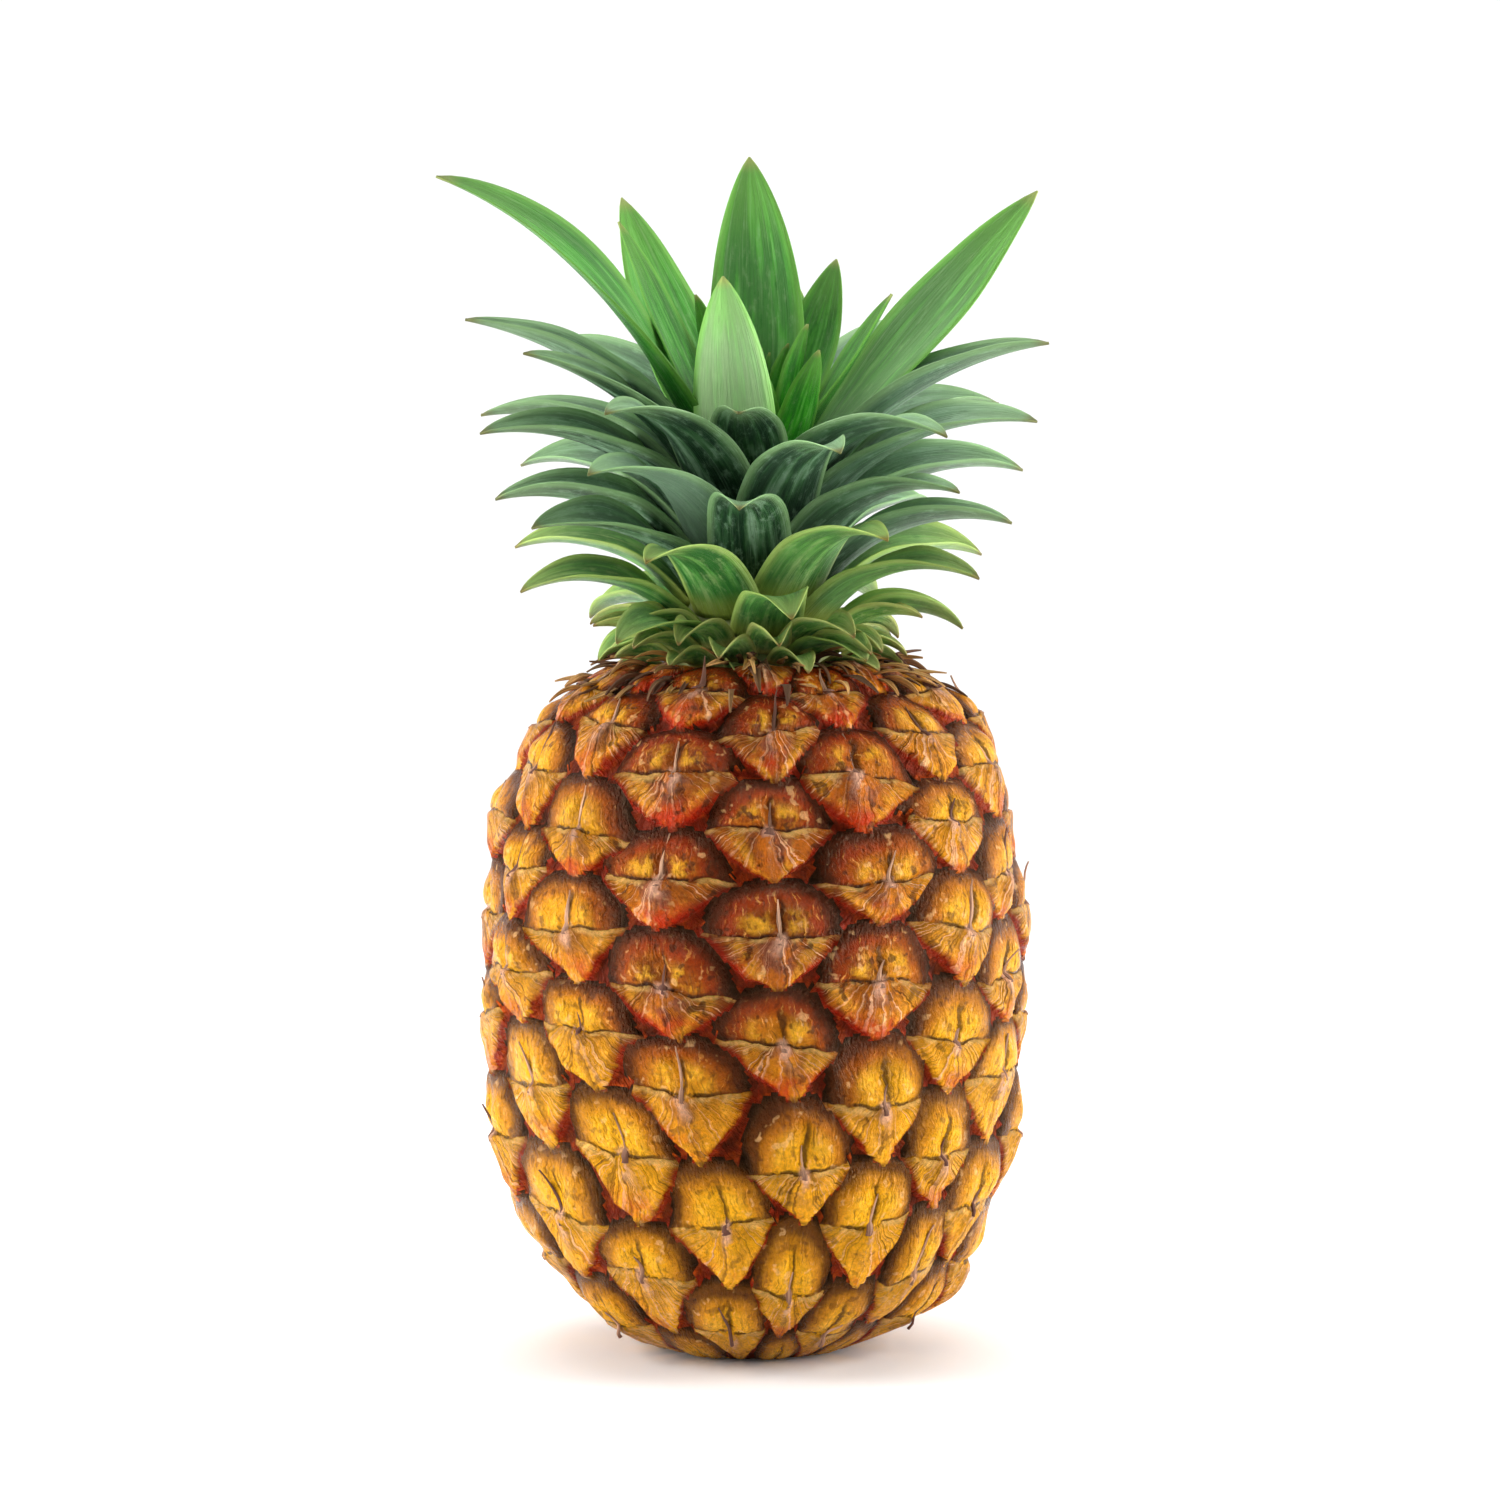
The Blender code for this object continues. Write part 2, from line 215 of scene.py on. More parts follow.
class Finish:
    """A Principled material whose colour is built up in layers."""

    def __init__(self, name):
        self.material = bpy.data.materials.new(name)
        self.material.use_nodes = True
        self.tree = self.material.node_tree
        self.shader = self.tree.nodes["Principled BSDF"]
        self.layers = None

    def attribute(self, name):
        node = self.tree.nodes.new("ShaderNodeAttribute")
        node.attribute_name = name
        return Field(self.tree, node.outputs["Fac"])

    def position(self):
        return self.tree.nodes.new("ShaderNodeTexCoord").outputs["Object"]

    def part_of(self, vector, axis):
        """One of a vector's three parts, 0 being X."""
        node = self.tree.nodes.new("ShaderNodeSeparateXYZ")
        self.tree.links.new(vector, node.inputs[0])
        return Field(self.tree, node.outputs[axis])

    def grid(self, first, second, third=0.0):
        """A vector made of three fields or numbers."""
        node = self.tree.nodes.new("ShaderNodeCombineXYZ")
        for place, value in enumerate((first, second, third)):
            plug(self.tree, value, node.inputs[place])
        return node.outputs[0]

    def noise(self, vector, scale, detail=2.0, roughness=0.5):
        node = self.tree.nodes.new("ShaderNodeTexNoise")
        self.tree.links.new(vector, node.inputs["Vector"])
        node.inputs["Scale"].default_value = scale
        node.inputs["Detail"].default_value = detail
        node.inputs["Roughness"].default_value = roughness
        return Field(self.tree, node.outputs[0])

    def paint(self, tone, share=1.0):
        """Lay a colour, or another layer, over what is there by a share."""
        if self.layers is None:
            node = self.tree.nodes.new("ShaderNodeRGB")
            node.outputs[0].default_value = tone
            self.layers = node.outputs[0]
            return
        node = self.tree.nodes.new("ShaderNodeMix")
        node.data_type = "RGBA"
        plug(self.tree, share, node.inputs[0])
        self.tree.links.new(self.layers, node.inputs[6])
        if isinstance(tone, tuple):
            node.inputs[7].default_value = tone
        else:
            self.tree.links.new(tone, node.inputs[7])
        self.layers = node.outputs[2]

    def shade(self, value):
        """Darken or lighten the colour by a field around 1."""
        node = self.tree.nodes.new("ShaderNodeVectorMath")
        node.operation = "SCALE"
        self.tree.links.new(self.layers, node.inputs[0])
        self.tree.links.new(value.socket, node.inputs["Scale"])
        self.layers = node.outputs[0]

    def finish(self, roughness, bump=None, bump_depth=0.0002, coat=0.0, specular=0.5,
               shine=(1.0, 1.0, 1.0, 1.0)):
        self.tree.links.new(self.layers, self.shader.inputs["Base Color"])
        plug(self.tree, roughness, self.shader.inputs["Roughness"])
        self.shader.inputs["Coat Weight"].default_value = coat
        self.shader.inputs["Coat Roughness"].default_value = 0.25
        self.shader.inputs["Specular IOR Level"].default_value = specular
        self.shader.inputs["Specular Tint"].default_value = shine
        if bump is not None:
            node = self.tree.nodes.new("ShaderNodeBump")
            node.inputs["Strength"].default_value = 1.0
            node.inputs["Distance"].default_value = bump_depth
            self.tree.links.new(bump.socket, node.inputs["Height"])
            self.tree.links.new(node.outputs[0], self.shader.inputs["Normal"])
        return self.material


def new_piece(name, mesh, material, slot, *nodes):
    """Put a mesh in the scene as a piece that rides the body and may replace nodes."""
    piece = bpy.data.objects.new(name, mesh)
    bpy.context.scene.collection.objects.link(piece)
    mesh.materials.append(material)
    mesh.polygons.foreach_set("use_smooth", [True] * len(mesh.polygons))
    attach(piece, "root")
    if nodes:
        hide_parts(*nodes)
    return piece


def mesh_from(name, points, faces):
    mesh = bpy.data.meshes.new(name)
    mesh.from_pydata([tuple(point) for point in points], [], [tuple(face) for face in faces])
    mesh.update()
    return mesh


def store(mesh, name, values, domain="POINT"):
    layer = mesh.attributes.new(name, "FLOAT", domain)
    layer.data.foreach_set("value", np.asarray(values, dtype=np.float32).ravel())


# ------------------------------------------------------------------- the rind
def fruit_radius(height):
    """Radius of the fruit at a height, down in the grooves between the eyes."""
    if height >= FRUIT_WIDEST_HEIGHT:
        reach, fullness = FRUIT_UPPER_REACH, UPPER_FULLNESS
    else:
        reach, fullness = FRUIT_LOWER_REACH, LOWER_FULLNESS
    share = abs(height - FRUIT_WIDEST_HEIGHT) / reach
    return FRUIT_RADIUS * (1.0 - share ** fullness[0]) ** (1.0 / fullness[1])


OUTLINE_HEIGHTS = np.linspace(0.0, FRUIT_TOP, 800)
OUTLINE_RADII = np.array([fruit_radius(height) for height in OUTLINE_HEIGHTS])
OUTLINE_ARCS = np.concatenate((
    [0.0], np.cumsum(np.hypot(np.diff(OUTLINE_HEIGHTS), np.diff(OUTLINE_RADII)))))
OUTLINE_SLOPES = np.gradient(OUTLINE_RADII, OUTLINE_ARCS)


def lattice_place(column, row):
    """Point and outward direction on the fruit for arrays of columns and rows."""
    base, per_row, per_square, per_cube = ROW_ARCS
    arc = base + per_row * row + per_square * row ** 2 + per_cube * row ** 3
    radius = np.interp(arc, OUTLINE_ARCS, OUTLINE_RADII)
    height = np.interp(arc, OUTLINE_ARCS, OUTLINE_HEIGHTS)
    slope = np.interp(arc, OUTLINE_ARCS, OUTLINE_SLOPES)
    turn = FIRST_COLUMN_TURN + column * math.tau / EYE_COLUMNS
    low = smooth((LEAN_STARTS_BELOW - height) / (LEAN_STARTS_BELOW - LEAN_FULL_BELOW))
    turn = turn - low * COLUMN_LEAN * np.sin(turn - LEAN_TOWARDS)
    point = np.stack((radius * np.sin(turn), -radius * np.cos(turn), height), axis=-1)
    rise = np.sqrt(np.clip(1.0 - slope ** 2, 0.0, 1.0))
    outward = np.stack((rise * np.sin(turn), -rise * np.cos(turn), -slope), axis=-1)
    return point, outward


BOTTOM_BORDER = BOTTOM_ROW - 0.5
TOP_BORDER = TOP_ROW + 0.5
EYE_RINGS = 17              # rings of faces from an eye's middle to its border
EYE_SIDE_STEPS = 8          # faces along each of its six sides
DOME_HALF_WIDTH = 0.98      # of an eye's upper part, 1 being the corner of its cell
DOME_RISE = 1.18            # of the same part, 1 being the top of its cell
DOME_FULLNESS = (2.4, 2.8)  # exponents of its width and its rise
BRACT_HALF_WIDTH = 1.02     # of the bract below, where it meets the crease
BRACT_FOOT_HALF_WIDTH = 0.04
GROOVE_FLOOR = 0.17         # height of the skin left between bracts and domes
RIND_RELIEF = 3.5 * MM
EYES_BELOW = ((-1, -0.5), (1, -0.5), (0, -1.0))     # columns and rows to them
WELD_STEPS = 1800           # to a column or a row; points on the same step are one
WOBBLE_SCALE = 210.0        # of the fine unevenness, per metre
WOBBLE = 0.07               # its size, as a share of an eye
DRIFT_SCALES = (40.0, 150.0)        # of the two waves of uneven growth, per metre
DRIFT_SIZES = (0.0026, 0.0007)
DRY_BRACTS = 130


def eye_grid():
    """One six-sided cell as points (column, row) about its middle, with its faces."""
    corners = (
        (2 / 3, 0), (1 / 3, 1 / 2), (-1 / 3, 1 / 2), (-2 / 3, 0), (-1 / 3, -1 / 2), (1 / 3, -1 / 2))
    around = 6 * EYE_SIDE_STEPS
    points = [(0.0, 0.0)]
    for ring in range(1, EYE_RINGS + 1):
        reach = 1.0 - (1.0 - ring / EYE_RINGS) ** 1.25
        for side in range(6):
            start, end = corners[side], corners[(side + 1) % 6]
            for step in range(EYE_SIDE_STEPS):
                share = step / EYE_SIDE_STEPS
                across, up = mix(start[0], end[0], share), mix(start[1], end[1], share)
                points.append((reach * across, reach * up))
    sectors = []
    for place in range(around):
        after = (place + 1) % around
        faces = [(0, 1 + place, 1 + after)]
        for ring in range(1, EYE_RINGS):
            inner, outer = 1 + (ring - 1) * around, 1 + ring * around
            faces.append((inner + place, outer + place, outer + after, inner + after))
        sectors.append(faces)
    return np.array(points), sectors


def eye_places(across, up, habit):
    """An eye's own places: 0 at its crease, 1 at the top of its arch, -1 at its foot."""
    crease = habit["crease"] + habit["tilt"] * across + 0.06 * across ** 2
    above = (up - crease) / (1.0 - crease)
    below = (up - crease) / (1.0 + crease)
    return across - habit["shift"], np.where(up > crease, above, below)


def eye_habit(chance):
    """The small differences that set one eye apart from its neighbours."""
    return {
        "crease": chance.uniform(-0.10, 0.20),
        "tilt": chance.uniform(-0.12, 0.12),
        "shift": chance.uniform(-0.10, 0.10),
        "swell": chance.uniform(0.80, 1.06),
        "tint": chance.random(),
    }


def eye_habits():
    """The habit of every eye, by its column and row."""
    chance = random.Random(11)
    return {(column, row): eye_habit(chance) for column, row, part in rind_cells()}


def dome_edge(across, level):
    """0 in the middle of a dome and 1 at its rim."""
    wide, high = DOME_FULLNESS
    return (np.abs(across) / DOME_HALF_WIDTH) ** wide + (np.maximum(level, 0.0) / DOME_RISE) ** high


def bract_edge(across, level):
    """0 down the middle of a bract and 1 at its sides, which meet at its foot."""
    return np.abs(across) / (BRACT_HALF_WIDTH * np.clip(1.0 + level, 0.0, 1.0) + BRACT_FOOT_HALF_WIDTH)


def eye_relief(across, level):
    """Height of an eye's surface, 0 in the grooves and about 1 on its swellings."""
    side = np.abs(across)
    dome = 0.88 * np.clip(1.0 - dome_edge(across, level) ** 1.1, 0.0, 1.0) ** 0.46
    sepal = 0.24 * np.exp(-((side - 0.36) / 0.20) ** 2 - ((level - 0.36) / 0.30) ** 2)
    cleft = 0.20 * np.exp(-(across / 0.07) ** 2)
    cleft = cleft * step_between(0.0, 0.15, level) * step_between(1.0, 0.6, level)
    edge = bract_edge(across, level)
    bract = 0.92 - 0.30 * side ** 2 - 0.20 * step_between(0.70, 1.0, edge)
    hollow = 0.14 * np.exp(-((edge - 0.46) / 0.20) ** 2) * step_between(-0.95, -0.5, level)
    keel = 0.30 * np.exp(-(across / 0.16) ** 2) * step_between(-0.9, -0.02, level)
    foot = 0.24 * step_between(-0.55, -1.0, level)
    bract = mix(bract + keel - hollow - foot, GROOVE_FLOOR, step_between(0.96, 1.14, edge))
    crease = 0.20 * np.exp(-((level - 0.03) / 0.05) ** 2) * (1 - 0.6 * np.minimum(side, 1.0))
    return mix(bract, dome + sepal - cleft, step_between(-0.04, 0.08, level)) - crease


def eyes_in_reach(column, row, habits):
    """A cell's own eye, then those below whose domes reach up into it."""
    near = [(0.0, 0.0, habits[column, row])]
    for columns, rows in EYES_BELOW:
        eye = ((column + columns) % EYE_COLUMNS, row + rows)
        if eye in habits:
            near.append((1.5 * columns, 2.0 * rows, habits[eye]))
    return near


def lay_of_eyes(across, up, near):
    """Which eye each point of a cell is part of, the height there, and all the places."""
    places, heights, claims = [], [], []
    for number, (aside, above, habit) in enumerate(near):
        sideways, level = eye_places(across - aside, up - above, habit)
        height = eye_relief(sideways, level) * habit["swell"]
        if number == 0:
            covered = (level < 0.0) & (bract_edge(sideways, level) < 1.02)
            claim = np.where(covered, height + 1.0, height)
        else:
            claim = np.where((level > 0.1) & (dome_edge(sideways, level) < 1.0), height, -1.0)
        places.append((sideways, level))
        heights.append(height)
        claims.append(claim)
    owner = np.argmax(claims, axis=0)
    return owner, np.choose(owner, heights), places


def drift(spot):
    """How far growth has shifted a point of the rind from its regular place."""
    place = Vector(spot)
    slow, quick = (
        noise.noise_vector(place * scale) * size for scale, size in zip(DRIFT_SCALES, DRIFT_SIZES))
    return np.array(slow + quick)


def rind_cells():
    """Every cell of the rind: its column and row, and which half of it is there."""
    for column in range(EYE_COLUMNS):
        odd = column % 2 == 1
        row = BOTTOM_ROW if odd else BOTTOM_ROW + 0.5
        last_row = TOP_ROW if odd else TOP_ROW - 0.5
        if not odd:
            yield column, BOTTOM_BORDER, "upper"
            yield column, TOP_BORDER, "lower"
        while row <= last_row:
            yield column, row, "whole"
            row += 1.0


def weld(column, row):
    """Number the points of all cells so that those at one place share a number."""
    keys = np.stack((np.round(column * WELD_STEPS).astype(int) % (EYE_COLUMNS * WELD_STEPS),
                     np.round(row * WELD_STEPS).astype(int)), axis=-1)
    return np.unique(keys, axis=0, return_inverse=True)[1].ravel()


def place_rind(column, row, height):
    """Points of the rind at these places of the lattice, shallower towards its ends."""
    point, outward = lattice_place(column, row)
    low = smooth((row - BOTTOM_BORDER) / 0.9)
    high = smooth((TOP_BORDER + 0.1 - row) / 1.2)
    ends = (0.25 + 0.75 * low) * (0.45 + 0.55 * high)
    return point + outward * (RIND_RELIEF * height * ends)[:, None]


def make_rind(material):
    """The rind: each cell of the honeycomb swells into an eye."""
    habits = eye_habits()
    grid, sectors = eye_grid()
    half = len(sectors) // 2
    halves = {"whole": sectors, "upper": sectors[:half], "lower": sectors[half:]}
    columns, rows, heights, faces = [], [], [], []
    looks = {"eye_across": [], "eye_level": [], "eye_tint": [], "eye_row": []}
    for number, (column, row, part) in enumerate(rind_cells()):
        first = number * len(grid)
        point, _ = lattice_place(column + grid[:, 0], row + grid[:, 1])
        wobble = WOBBLE * np.array([noise.noise_vector(Vector(spot) * WOBBLE_SCALE) for spot in point])
        across = 1.5 * grid[:, 0] + wobble[:, 0]
        up = 2.0 * grid[:, 1] + wobble[:, 1]
        near = eyes_in_reach(column, row, habits)
        owner, height, places = lay_of_eyes(across, up, near)
        columns.append(column + grid[:, 0])
        rows.append(row + grid[:, 1])
        heights.append(np.maximum(height + wobble[:, 2], -0.05))
        cell_faces = [face for sector in halves[part] for face in sector]
        middles = np.array([(across[list(face)].mean(), up[list(face)].mean()) for face in cell_faces])
        face_owners, _, _ = lay_of_eyes(middles[:, 0], middles[:, 1], near)
        for face, eye in zip(cell_faces, face_owners):
            faces.append(tuple(first + place for place in face))
            for place in face:
                looks["eye_across"].append(places[eye][0][place])
                looks["eye_level"].append(places[eye][1][place])
                looks["eye_tint"].append(near[eye][2]["tint"])
                looks["eye_row"].append(row + grid[place, 1])
    column, row, height = np.concatenate(columns), np.concatenate(rows), np.concatenate(heights)
    placed = place_rind(column, row, height)

    shared = weld(column, row)
    count = np.bincount(shared)
    merged = np.stack([np.bincount(shared, placed[:, axis]) / count for axis in range(3)], axis=-1)
    merged_row = np.bincount(shared, row) / count
    for place, spot in enumerate(merged):
        from_ends = (merged_row[place] - BOTTOM_BORDER, TOP_BORDER - merged_row[place])
        free = float(smooth(from_ends[0] / 0.7) * smooth(from_ends[1] / 0.7))
        merged[place] = spot + drift(spot) * free
    base_rim = np.abs(merged_row - BOTTOM_BORDER) < 0.001
    merged[:, 2] = np.where(base_rim, 0.0, np.maximum(merged[:, 2], 0.0004))

    corners = [tuple(int(shared[place]) for place in face) for face in faces]
    mesh = mesh_from("rind", merged, corners)
    store(mesh, "rind_height", np.bincount(shared, height) / count)
    for name, values in looks.items():
        store(mesh, name, values, "CORNER")
    close_ends(mesh)
    return new_piece("fruit_rind", mesh, material, "rind", "fruit")


def turn_of(edge):
    """Where an edge lies around the Z axis."""
    middle = edge.verts[0].co + edge.verts[1].co
    return math.atan2(middle.y, middle.x)


def add_ring(shape, edges, radius, height):
    """Join a level ring of new points to an open border, and give the new border."""
    twins = {}
    for edge in edges:
        for point in edge.verts:
            if point not in twins:
                flat = math.hypot(point.co.x, point.co.y)
                place = (point.co.x * radius / flat, point.co.y * radius / flat, height)
                twins[point] = shape.verts.new(place, point)
    border = []
    for edge in edges:
        start = edge.link_loops[0]
        end = start.link_loop_next
        face = shape.faces.new((end.vert, start.vert, twins[start.vert], twins[end.vert]))
        for corner, source in zip(face.loops, (end, start, start, end)):
            corner.copy_from(source)
        border.append(shape.edges.get((twins[start.vert], twins[end.vert])))
    return border


def close_ends(mesh):
    """Close the fruit under its crown, and under its base around the stalk's socket."""
    shape = bmesh.new()
    shape.from_mesh(mesh)
    socket_radius = STALK_RADIUS + SOCKET_GAP
    socket_top = STALK_LENGTH + SOCKET_GAP
    rings = (
        (False, ((0.0185, 0.0), (0.0165, 0.0), (0.0140, 0.0), (socket_radius, 0.0),
                 (socket_radius, 0.5 * socket_top), (socket_radius, socket_top))),
        (True, ((0.026, FRUIT_TOP + 0.0002), (0.020, FRUIT_TOP + 0.0002))),
    )
    for top, places in rings:
        border = sorted((edge for edge in shape.edges
                         if edge.is_boundary and (edge.verts[0].co.z > 0.1) == top), key=turn_of)
        for radius, height in places:
            border = add_ring(shape, border, radius, height)
        rim = {point: math.atan2(point.co.y, point.co.x) for edge in border for point in edge.verts}
        shape.faces.new(sorted(rim, key=rim.get))
    bmesh.ops.recalc_face_normals(shape, faces=shape.faces)
    shape.to_mesh(mesh)
    shape.free()


def rind_finish():
    """Waxy yellow-gold eyes with red-brown edges, dark grooves and a dry crease, with painted highlights,
    painted shade and painted light on the flanks.
    """
    skin = Finish("pineapple_rind")
    place = skin.position()
    across = skin.attribute("eye_across") + (skin.noise(place, 420.0, 3.0) - 0.5) * 0.16
    level = skin.attribute("eye_level") + (skin.noise(place, 380.0, 3.0) - 0.5) * 0.10
    height = skin.attribute("rind_height")
    tint = skin.attribute("eye_tint")
    row = skin.attribute("eye_row")
    side = across.size()
    blotch = skin.noise(place, 95.0, 3.0, 0.6)
    patch = skin.noise(place, 240.0, 3.0, 0.6)
    grain = skin.noise(place, 1200.0, 3.0, 0.6)
    spots = skin.noise(place, 330.0, 2.0, 0.5)

    upper = level.rise(-0.015, 0.015)
    lower = upper.rest()
    wide, high = DOME_FULLNESS
    arch = (side / DOME_HALF_WIDTH).power(wide) + (level.at_least(0.0) / DOME_RISE).power(high)
    fan_edge = side / ((level + 1.0).at_least(0.0) * BRACT_HALF_WIDTH + BRACT_FOOT_HALF_WIDTH)
    fan_edge = fan_edge + (blotch - 0.5) * 0.3
    fan = skin.noise(skin.grid(across / (level.size() + 0.25), tint * 9.0), 10.0, 3.0, 0.6)
    fibres = skin.noise(skin.grid(across * 14.0, level * 2.0, tint * 9.0), 1.6, 3.0, 0.6)

    # painted light: the fruit's left and right flanks are painted golden by their distance from its middle
    # across X, and are spared the dark layers below
    lit_flank = skin.part_of(place, 0).size().rise(0.018, 0.050)
    golden_foot_and_lit_flanks = (row.rise(0.8, -1.6) * 1.0 + lit_flank * 0.75).at_most(1.0)

    # the whole skin, golden at the foot of the fruit and redder at its top; the gold on its left and right
    # flanks is painted light
    skin.paint(colour(174, 90, 14))
    skin.paint(colour(108, 40, 7), blotch.rise(0.40, 0.58) * 0.85)
    skin.paint(colour(164, 66, 16), row.rise(0.2, 3.2) * 0.30)
    skin.paint(colour(84, 34, 9), tint.rise(0.20, 0.95) * 0.60)
    skin.paint(colour(255, 184, 26), golden_foot_and_lit_flanks * 0.78)

    # the two halves of the dome, each with a golden painted highlight on its middle
    skin.paint(colour(240, 176, 40), upper * side.rise(0.07, 0.20) * side.rise(0.62, 0.34)
               * level.rise(0.03, 0.18) * level.rise(0.66, 0.34) * patch.rise(0.42, 0.58)
               * (golden_foot_and_lit_flanks * 0.2 + 0.66))
    # red-brown deepening to near black towards the dome's rim: partly the eye's own red-brown edge, partly
    # painted shade falling into the groove
    skin.paint(colour(140, 38, 6), upper * arch.rise(0.05, 0.32) * (golden_foot_and_lit_flanks * -0.40 + 0.85))
    skin.paint(colour(56, 15, 4), upper * arch.rise(0.22, 0.62) * (golden_foot_and_lit_flanks * -0.10 + 0.97))
    skin.paint(colour(66, 24, 6), upper * fibres.rise(0.48, 0.30) * 0.55)
    skin.paint(colour(250, 176, 84), upper * fibres.rise(0.58, 0.72) * arch.rise(0.60, 0.2) * 0.60)

    # the bract
    skin.paint(colour(204, 108, 22), lower * (golden_foot_and_lit_flanks * -0.3 + 0.45))
    skin.paint(colour(106, 54, 44), lower * fan_edge.rise(0.70, 0.15) * level.rise(-0.85, -0.45)
               * patch.rise(0.40, 0.56) * (golden_foot_and_lit_flanks * -0.50 + 0.80))
    skin.paint(colour(244, 170, 44), lower * fan_edge.rise(0.30, 0.55) * fan_edge.rise(0.90, 0.66)
               * patch.rise(0.42, 0.58) * 0.55)
    skin.paint(colour(118, 40, 8), lower * fan_edge.rise(0.70, 0.92) * blotch.rise(0.36, 0.52)
               * (golden_foot_and_lit_flanks * -0.35 + 0.75))
    skin.paint(colour(242, 184, 140), fan.rise(0.54, 0.66) * lower * 0.72)
    skin.paint(colour(50, 17, 8), fan.rise(0.47, 0.33) * lower * 0.65)
    skin.paint(colour(176, 26, 6), lower * level.rise(-0.30, -0.80) * blotch.rise(0.44, 0.56)
               * (golden_foot_and_lit_flanks * -0.3 + 0.85))
    skin.paint(colour(134, 20, 5), lower * fan_edge.rise(0.86, 1.02) * 0.94)
    skin.paint(colour(214, 88, 14), lower * fan_edge.rise(1.05, 1.3) * patch.rise(0.46, 0.60) * 0.8)
    skin.paint(colour(36, 10, 4), lower * level.rise(-0.84, -1.0) * patch.rise(0.38, 0.52) * 0.80)

    # scars and dry flecks anywhere on an eye
    skin.paint(colour(58, 20, 7), spots.rise(0.60, 0.68) * (golden_foot_and_lit_flanks * -0.3 + 0.75))
    skin.paint(colour(250, 196, 128), spots.rise(0.37, 0.30) * height.rise(0.45, 0.7) * 0.38)

    # the crease, with a dark line in it and a dark slit above its middle, both painted shade, a pale lip
    # under it that is a painted highlight on the bract's upper edge, and the pale keel at its middle
    # painted highlight: the pale lip along the bract's upper edge
    skin.paint(colour(248, 196, 110), level.rise(-0.13, -0.05) * level.rise(0.01, -0.02)
               * side.rise(0.10, 0.3) * side.rise(1.1, 0.80) * patch.rise(0.38, 0.54) * 0.65)
    # painted shade: the dark line in the crease
    skin.paint(colour(34, 11, 5), level.rise(-0.015, 0.005) * level.rise(0.07, 0.03)
               * side.rise(0.86, 0.40) * patch.rise(0.36, 0.46) * 0.85)
    # painted shade: the dark slit on one side of the middle fibre
    skin.paint(colour(36, 12, 5), across.rise(0.00, 0.03) * across.rise(0.12, 0.05)
               * level.rise(0.0, 0.10) * level.rise(0.85, 0.6) * 0.8)
    skin.paint(colour(236, 182, 152), side.rise(0.14, 0.02) * level.rise(-0.45, -0.08)
               * level.rise(0.16, 0.02) * patch.rise(0.40, 0.54) * 0.7)

    # the grooves between the eyes: dark red beside the bracts, then near black deeper down, the rind's own
    # dark colour deepened by painted shade
    skin.paint(colour(104, 20, 5), lower * height.rise(0.40, 0.20) * (golden_foot_and_lit_flanks * -0.2 + 0.80))
    # painted shade: near black in the grooves above the domes and at the bottom of every groove
    skin.paint(colour(24, 7, 3), upper * height.rise(0.56, 0.26) * 0.92)
    skin.paint(colour(20, 5, 2), height.rise(0.24, 0.06))
    skin.shade(grain * 1.2 + 0.45)
    return skin.finish(
        roughness=height.rise(0.5, 0.1) * 0.4 + grain * 0.20 + 0.12,
        bump=grain * 0.35 + fan * lower * 1.4 + fibres * upper * 0.7 + patch * 1.0,
        bump_depth=0.0014, specular=0.20, shine=(1.0, 0.66, 0.30, 1.0))


def dry_finish(name, pale, dark):
    """A dried bract: papery, pinkish tan, darker at its foot and in streaks."""
    dry = Finish(name)
    along = dry.attribute("leaf_along")
    across = dry.attribute("leaf_across")
    tone = dry.attribute("leaf_tone")
    streaks = dry.noise(dry.grid(across * 5.0, along * 2.0, tone * 40.0), 1.0, 3.0, 0.6)
    dry.paint(pale)
    dry.paint(dark, tone.rise(0.35, 0.75) * 0.9)
    dry.paint(dark, streaks.rise(0.40, 0.65) * 0.7)
    dry.paint(dark, along.rise(0.45, 0.0) * 0.7)
    return dry.finish(roughness=0.75, bump=streaks, bump_depth=0.0003)


def make_bract_tips(material):
    """The dried tip of each eye's bract, lying up the middle of its dome."""
    habits = eye_habits()
    chance = random.Random(23)
    shells = []
    along, across = np.linspace(0.0, 1.0, 9), np.linspace(-1.0, 1.0, 5)
    along_grid, across_grid = np.meshgrid(along, across, indexing="ij")
    for column, row, part in rind_cells():
        if part != "whole":
            continue
        habit = habits[column, row]
        length = chance.uniform(0.40, 0.90) + 0.30 * max(0.0, row) / TOP_ROW
        width = chance.uniform(0.035, 0.080) + 0.02 * max(0.0, row) / TOP_ROW
        bend = chance.uniform(-0.14, 0.14)
        raised = chance.choice((0.2, 0.6, 1.2, 2.2, 3.0))
        up = habit["crease"] - 0.10 + length * along_grid
        sideways = habit["shift"] + width * across_grid * (1.0 - 0.9 * along_grid) + bend * along_grid ** 2
        point, outward = lattice_place(column + sideways / 1.5, row + up / 2.0)
        hug = eye_relief(*eye_places(0.0 * up + habit["shift"], np.clip(up, -1.0, 0.85), habit))
        smooth_hug = np.maximum(hug, 0.62) * habit["swell"]
        lift = RIND_RELIEF * smooth_hug + MM * (raised * along_grid ** 2 - 0.30 * np.abs(across_grid))
        points = point + outward * lift[..., None]
        flat = points.reshape(-1, 3)
        points = np.array([spot + drift(spot) for spot in flat]).reshape(points.shape)
        shells.append(leaf_shell(points, along_grid, across_grid, 0.0005, chance.random()))
    return piece_of_shells("eye_bract_tips", shells, material, "rind")


# ------------------------------------------------------------------ the leaves
def on_curve(points, place):
    """Read a smooth curve through evenly spaced values, place being 0 to 1."""
    span = place * (len(points) - 1)
    first = min(int(span), len(points) - 2)
    share = span - first
    share = share * share * (3.0 - 2.0 * share)
    return mix(points[first], points[first + 1], share)


